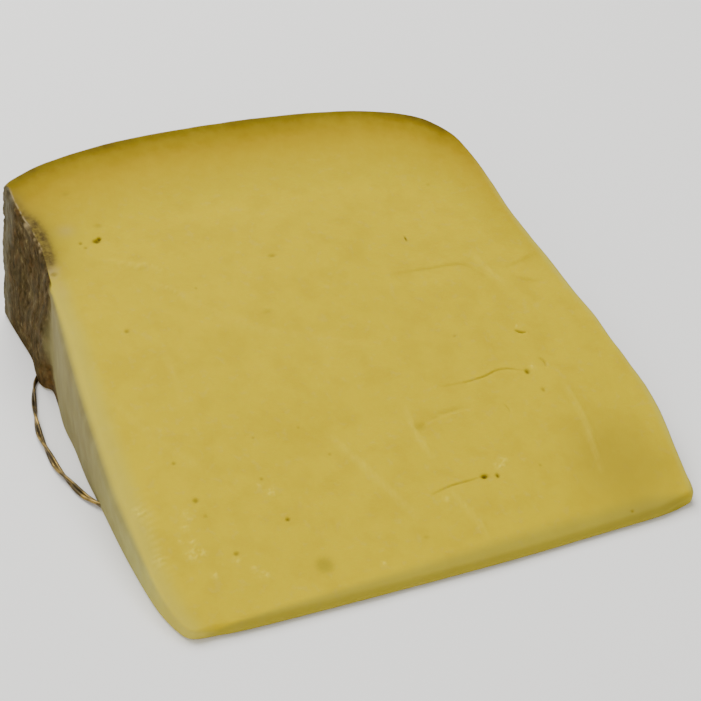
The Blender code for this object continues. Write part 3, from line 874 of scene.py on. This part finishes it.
# name: attribute, which range of it counts, and what that becomes if not 0 to 1
MASKS = {
    "dried": ("rim_gap", 0, 24), "inner": ("rim_gap", 8, 20),
    "far": ("radius", 12, 52), "tip_shade": ("tip", 0, 1, 0, 0.6),
    "tip_right_shade": ("tip_right_shade", 0, 1, 0, 0.6), "bruise": ("bruise", 0, 1, 0, 0.6),
    "hole_shade_and_stain": ("hollow_shade_and_stain", 0, 0.5), "floor": ("hollow_shade_and_stain", 0.45, 1),
    "veil": ("mould", 0, 0.75, 0, 0.88), "mould": ("mould", 0.35, 0.95),
    "pale": ("pale", 0, 2, 0, 0.9), "frayed": ("frayed", 0, 1, 0, 0.8),
    "matt": ("crust", 0, 1, 0.7, 0.95), "coarse": ("crust", 0, 1, 0.12, 1),
}
# name: size in mm, detail, stretch up the wheel (a low number draws it out), roughness,
# the range of the noise that counts, and what that becomes
PATTERNS = {
    # paste: drier and moister curd, its grain, and salt specks (really about 0.5 mm, drawn
    # coarser so that they show)
    "blotch": (16, 4, 1, 0.5, 0.35, 0.65, 0, 0.18),
    "grain": (2.2, 5, 1, 0.5, 0.3, 0.7, 0, 0.08),
    "deeper": (5, 3, 1, 0.5, 0.45, 0.65, 0, 0.3),
    "speck": (1.6, 2, 1, 0.5, 0.58, 0.7, 0, 0.14),
    # colonies of mould on the paste: really 0.1 to 0.5 mm, drawn coarser
    "spotted": (0.8, 2, 1, 0.5, 0.3, 0.7, 0.1, 0.85),
    # scraped side: the knife's streaks, and moister clouds
    "streak": (2.5, 4, 0.35, 0.5, 0.3, 0.7, 0, 0.25),
    "cloud": (5, 3, 1, 0.5, 0.4, 0.65, 0, 0.3),
    # rind: fibres as wide as the cloth's threads (0.5 to 1 mm), and patches of a few mm
    "fibres": (1.2, 6, 0.55, 0.65, 0.3, 0.72),
    "mottle": (2.4, 3, 0.7, 0.5, 0.42, 0.62, 0, 0.35),
    "fleck": (1.8, 3, 0.5, 0.5, 0.55, 0.68, 0, 0.3),
    "rusty": (0.9, 4, 1, 0.5, 0.35, 0.65, 0.1, 0.5),
    "grey patch": (4, 5, 0.5, 0.5, 0.52, 0.68, 0, 0.15),
    "dusty": (1.6, 4, 0.5, 0.5, 0.35, 0.62, 0.2, 0.7),
    # grit of the rind and, much weaker, of the paste, for the bump
    "grit": (0.8, 6, 1, 0.7, 0, 1),
}
print(len(PLAIN) + len(MASKS), "amounts by mask,", len(PATTERNS), "by pattern")

# %% Stacks of colours: along what, its colours, and the layers over it
PASTE = [(0.00, "4E3D08"), (0.05, "604E08"), (0.10, "7A6204"), (0.15, "8A7102"),
         (0.21, "937800"), (0.30, "A28500"), (0.45, "AF9400"), (0.80, "BDA600"),
         (1.00, "C5AD00")]
# the scraped side's taupe, painted darker as shade
TAUPE_WITH_SHADE = [(0.0, "A59F52"), (1.0, "746B44")]
BROWN = [(0.0, "20180B"), (0.35, "3A2E14"), (0.6, "4C3E24"), (0.8, "5E5030"), (1.0, "786A42")]
STACKS = {
    "paste": ("dried", PASTE, [
        ("B39C06", "blotch"), ("D2BE30", "grain"), ("B29700", "deeper", "inner"),
        # 857D38 is painted shade along the thin tip
        # 9D8620 is painted shade near the right end of the tip
        ("B8A25C", "speck", "inner"), ("9D8620", "tip_right_shade"), ("857D38", "tip_shade"),
        ("8D7E1E", "bruise"), ("B5AA4C", "rubbed"), ("AE9A58", "bloom"), ("E2D048", "pale"),
        # 8B7814 and 3A2E10 are painted shade in the holes and cracks, 8B7814 also a few olive
        # stains
        ("8B7814", "hole_shade_and_stain"), ("3A2E10", "floor"), ("70602E", "veil"),
        ("3A2D18", "mould", "spotted")]),
    "scraped": ("far", TAUPE_WITH_SHADE, [("A09A62", "streak"), ("6E6236", "cloud")]),
    "crust": ("fibres", BROWN, [("352F16", "mottle"), ("5E4020", "fleck"),
                                ("705228", "rust", "rusty"), ("6A6653", "grey")]),
}
print("layers", {name: len(layers) for name, (_, _, layers) in STACKS.items()})

# %% Material: aged kashar, waxy paste and dry rind
def kashar_amounts(tree):
    """The output that gives each mask and each pattern its amount, by name."""
    place = add(tree, "TexCoord").outputs["Object"]
    raw = {name: (add(tree, "Attribute", attribute_name=attribute).outputs["Fac"], *span)
           for name, (attribute, *span) in MASKS.items()}
    for name, (size_mm, detail, upright, rough, *span) in PATTERNS.items():
        scaled = add(tree, "Mapping", {"Vector": place, "Scale": (1, 1, upright)})
        drawn = add(tree, "TexNoise", {"Vector": scaled.outputs["Vector"],
                                       "Scale": 1 / (size_mm * MM), "Detail": detail,
                                       "Roughness": rough})
        raw[name] = (drawn.outputs["Fac"], *span)
    amount = {name: add(tree, "MapRange", dict(enumerate(parts))).outputs["Result"]
              for name, parts in raw.items()}
    for name in PLAIN:
        amount[name] = add(tree, "Attribute", attribute_name=name).outputs["Fac"]
    dust = add(tree, "Math", {0: amount["back_corner"], 1: amount["dusty"]},
               operation="MULTIPLY")
    amount["grey"] = add(tree, "Math", {0: dust.outputs[0], 1: amount["grey patch"]},
                         operation="MAXIMUM").outputs[0]
    return amount


def kashar_colours(tree, amount):
    """The colour of each stack, by name."""
    colours = {}
    for name, (along, stops, layers) in STACKS.items():
        graded = add(tree, "ValToRGB", {"Fac": amount[along]})
        row = graded.color_ramp.elements
        while len(row) < len(stops):
            row.new(0.5)
        for element, (at, hex_colour) in zip(row, stops):
            element.position, element.color = at, linear(hex_colour)
        colours[name] = graded.outputs["Color"]
        for hex_colour, first, *others in layers:
            factor = amount[first]
            for other in others:
                factor = add(tree, "Math", {0: factor, 1: amount[other]},
                             operation="MULTIPLY").outputs[0]
            colours[name] = add(tree, "Mix", {0: factor, 6: colours[name],
                                              7: linear(hex_colour)},
                                data_type="RGBA").outputs[2]
    return colours


def kashar_material():
    """Cut paste, scraped side and mouldy rind in one, told apart by the masks. Cheese has
    the default IOR of about 1.45, but its fat and dust leave hardly any shine, and the rind
    none. Light scatters in it by about 2 mm, the red furthest."""
    material = bpy.data.materials.new("aged kashar, waxy paste and dry rind")
    material.use_nodes = True
    tree = material.node_tree
    amount = kashar_amounts(tree)
    colours = kashar_colours(tree, amount)

    colour = colours["paste"]
    for factor, over in (("side", colours["scraped"]), ("crust", colours["crust"]),
                         ("frayed", linear("9C8A62"))):
        colour = add(tree, "Mix", {0: amount[factor], 6: colour, 7: over},
                     data_type="RGBA").outputs[2]
    height = add(tree, "Math", {0: amount["grit"], 1: amount["coarse"]}, operation="MULTIPLY")
    bump = add(tree, "Bump", {"Strength": 0.7, "Distance": 0.4 * MM,
                              "Height": height.outputs[0]})
    plug(tree, tree.nodes["Principled BSDF"], {
        "Base Color": colour, "Roughness": amount["matt"], "Normal": bump.outputs["Normal"],
        "Specular IOR Level": 0.05, "Subsurface Weight": 0.25,
        "Subsurface Radius": (1.0, 0.7, 0.3), "Subsurface Scale": 2.0 * MM})
    return material


skin.materials.append(kashar_material())
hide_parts("kashar_wedge")
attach(cheese, "root")
print("material", skin.materials[0].name)

# %% [markdown]
# ## Twine
# The bow is two strands of gilt thread, laid round each other. Seen from the side it is wide
# where the strands lie next to each other and narrow where one is over the other. A tube with
# a round section would miss that. So the section here is the outline of two circles that
# overlap, and it turns as it is carried along the route. Its middle rises and falls, so that
# the twine always touches the table.

# %% Twine: two strands carried along the route
TWINE_THICKNESS = 1.3
TWINE_ROUTE = [(-52.1, 84.6), (-53.2, 81.4), (-54.5, 76.2), (-55.5, 70.8), (-55.9, 65.5),
               (-55.8, 60.5), (-55.3, 55.4), (-54.1, 50.2), (-52.5, 46.3)]
TWINE_IN = (-50.5, 87.4)
TWINE_OUT = (-50.7, 42.9)
TWINE_LAY = 21.0
STRAND_SHARE = 0.26
TWINE_RINGS, TWINE_SIDES = 260, 36
TWINE_THIN, THICKENS = 0.72, (0.05, 0.5)
TWINE_START_TURN = 0.4


def strands(route):
    """Ring centres and surface of the twine, how deep in its groove each point lies, and
    the length run at each ring. The section's reach at an angle is the farther of two
    overlapping circles: c|cos| + sqrt(a^2 - c^2 sin^2)."""
    path = evenly(smooth_line([TWINE_IN, *route, TWINE_OUT]), TWINE_RINGS - 1)
    run = run_along(path)
    scale = TWINE_THIN + (1 - TWINE_THIN) * ramp(run / run[-1], *THICKENS)
    radius = STRAND_SHARE * TWINE_THICKNESS * scale
    centre = TWINE_THICKNESS / 2 * scale - radius
    twist = 2 * math.pi * run / TWINE_LAY + TWINE_START_TURN
    lift = centre * np.abs(np.sin(twist)) + radius
    middle = np.column_stack([path, lift])
    along = np.gradient(middle, axis=0)
    along /= np.linalg.norm(along, axis=1)[:, None]
    across = np.cross(along, [0, 0, 1])
    across /= np.linalg.norm(across, axis=1)[:, None]
    up = np.cross(across, along)
    angle = np.linspace(0, 2 * math.pi, TWINE_SIDES, endpoint=False)[None, :]
    reach = (centre[:, None] * np.abs(np.cos(angle))
             + np.sqrt(radius[:, None] ** 2 - (centre[:, None] * np.sin(angle)) ** 2))
    turned_by = angle + twist[:, None]
    surface = (middle[:, None] + (reach * np.cos(turned_by))[..., None] * across[:, None]
               + (reach * np.sin(turned_by))[..., None] * up[:, None])
    groove = 1 - np.abs(np.cos(angle)) + 0 * reach
    return middle, surface, groove, run


def tube(name, surface):
    """A closed tube of quads from rings of points, with flat ends."""
    rings, sides = surface.shape[:2]
    row, nxt = np.arange(sides), np.roll(np.arange(sides), -1)
    start = np.arange(rings - 1)[:, None] * sides
    quads = np.stack([start + row, start + sides + row, start + sides + nxt, start + nxt], -1)
    ends = [row.tolist(), (row[::-1] + (rings - 1) * sides).tolist()]
    mesh = bpy.data.meshes.new(name)
    mesh.from_pydata(surface.reshape(-1, 3).tolist(), [], quads.reshape(-1, 4).tolist() + ends)
    mesh.update()
    mesh.shade_smooth()
    return in_scene(name, mesh)


middle, surface, groove, run = strands(TWINE_ROUTE)
shift = np.array([*WHEEL_AXIS, 0.0])
twine = tube("twine", (surface + shift) * MM)
paint(twine.data, "groove", groove.ravel())
print("twine", round(run[-1], 1), "mm long")

# %% [markdown]
# The real thread is metal foil wound on a textile core, and it is years old. To the eye it
# is a soft, broken gold on the backs of the strands, and brown between them.

# %% Material: gilt thread, tarnished, with painted shade and reflections
FOIL_PATCH = 4.0
FOIL_TURN = 0.25


def gilt_material():
    """Gold on the strands' backs, and brown in the groove between them, as tarnish and painted
    shade. Patches of about 4 mm are dark brown, partly as tarnish and partly as the foil's
    dark reflections, painted in. The foil's turns are about 0.1 mm apart, and drawn as a bump
    of
    0.25 mm, as fine as the render shows."""
    material = bpy.data.materials.new("gilt thread, tarnished, with painted shade and reflections")
    material.use_nodes = True
    tree = material.node_tree
    place = add(tree, "TexCoord").outputs["Object"]
    tarnish_and_dark_reflection = add(tree, "TexNoise", {"Vector": place, "Scale": 1 / (FOIL_PATCH * MM),
                                  "Detail": 3.0})
    patch = add(tree, "MapRange", {0: tarnish_and_dark_reflection.outputs["Fac"], 1: 0.5, 2: 0.7})
    # the dark brown patches are partly tarnish and partly painted dark reflections
    gold = add(tree, "Mix", {0: patch.outputs["Result"], 6: linear("4A3D20"),
                             7: linear("B39348")}, data_type="RGBA")
    groove = add(tree, "Attribute", attribute_name="groove")
    # the groove between the strands is painted brown, as shade and tarnish
    groove_shade = add(tree, "Math", {0: groove.outputs["Fac"], 1: 0.8}, operation="MULTIPLY")
    colour = add(tree, "Mix", {0: groove_shade.outputs[0], 6: gold.outputs[2],
                               7: linear("2E2410")}, data_type="RGBA")
    wound = add(tree, "TexNoise", {"Vector": place, "Scale": 1 / (FOIL_TURN * MM)})
    bump = add(tree, "Bump", {"Strength": 0.3, "Distance": 0.05 * MM,
                              "Height": wound.outputs["Fac"]})
    plug(tree, tree.nodes["Principled BSDF"], {
        "Base Color": colour.outputs[2], "Metallic": 0.8, "Roughness": 0.32,
        "Normal": bump.outputs["Normal"]})
    return material


twine.data.materials.append(gilt_material())
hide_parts("twine_loop")
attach(twine, "root")
print("twine material", twine.data.materials[0].name)

# %% [markdown]
# ## Floor and light
# A plain pale floor, a broad soft lamp from above and behind, and a weak one from the front
# left. The low flat on the left then stays darker than the cut face, as in the photo, and
# the bright floor lifts it from below. Its taupe colour is also painted darker, as shade.

# %% Floor, lamps and sky
FLOOR_REACH, FLOOR_DROP = 3.0, 0.0002
LAMPS = {"soft lamp": ((-0.1, 0.52, 0.85), 0.9, 17.0),
         "weak front fill": ((-0.55, -0.75, 0.45), 0.8, 6.0)}
SKY_STRENGTH = 0.4

corners = [(x * FLOOR_REACH, y * FLOOR_REACH, 0)
           for x, y in ((-1, -1), (1, -1), (1, 1), (-1, 1))]
floor_mesh = bpy.data.meshes.new("floor")
floor_mesh.from_pydata(corners, [], [(0, 1, 2, 3)])
floor = in_scene("floor", floor_mesh)
floor.location.z = -FLOOR_DROP

# matt white paint on a board: no shine, and a little warm
floor_paint = bpy.data.materials.new("matt white painted board")
floor_paint.use_nodes = True
plug(floor_paint.node_tree, floor_paint.node_tree.nodes["Principled BSDF"],
     {"Base Color": linear("F4F3F0"), "Roughness": 0.9})
floor_mesh.materials.append(floor_paint)

for name, (place, size, power) in LAMPS.items():
    data = bpy.data.lights.new(name, "AREA")
    data.size, data.energy = size, power
    lamp = in_scene(name, data)
    lamp.location = place
    lamp.rotation_euler = (-Vector(place)).to_track_quat("-Z", "Y").to_euler()

world = bpy.data.worlds.new("studio")
bpy.context.scene.world = world
world.use_nodes = True
plug(world.node_tree, world.node_tree.nodes["Background"],
     {"Color": linear("F6F6F4"), "Strength": SKY_STRENGTH})
print("floor and", len(LAMPS), "lamps")
